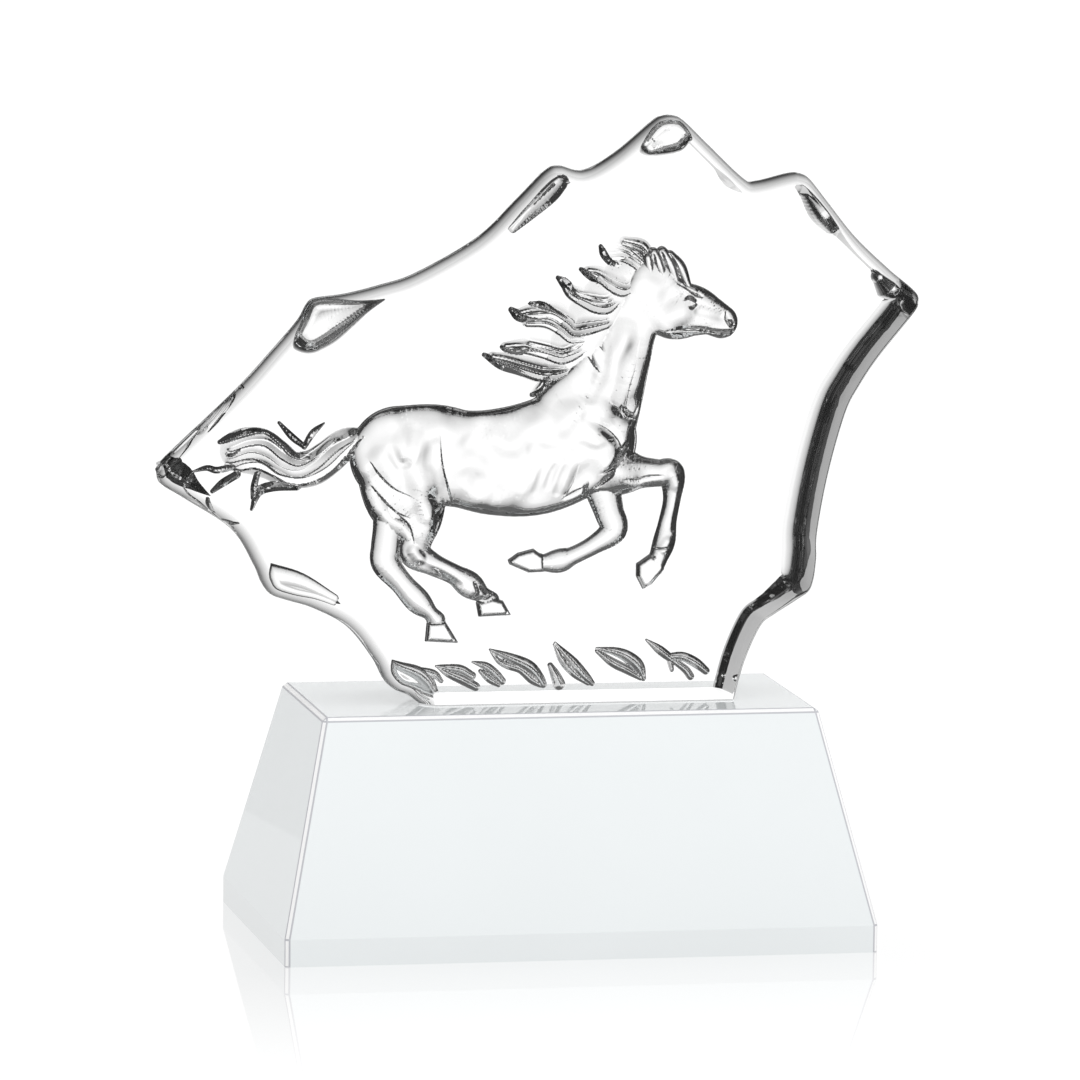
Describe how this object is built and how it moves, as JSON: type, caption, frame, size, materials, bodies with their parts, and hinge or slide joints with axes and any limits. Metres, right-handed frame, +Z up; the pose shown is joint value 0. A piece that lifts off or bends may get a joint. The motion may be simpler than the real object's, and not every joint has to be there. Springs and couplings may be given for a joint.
{
  "type": "horse trophy",
  "caption": "Clear moulded glass plaque with a jagged outline, cut in its back with a galloping horse, standing on a tapered white glass plinth as an award.",
  "frame": {"origin": "middle of the plinth's underside, on the surface the trophy stands on", "axes": "+Z up, +X to the right seen from the front and towards where the horse gallops, +Y from the polished front towards the carved back"},
  "size_m": [0.1547, 0.074, 0.1653],
  "materials": {
    "clear_glass": "polished",
    "white_glass": "polished, opaque"
  },
  "bodies": {
    "root": {"plaque": "clear_glass", "plinth": "white_glass"}
  },
  "joints": []
}
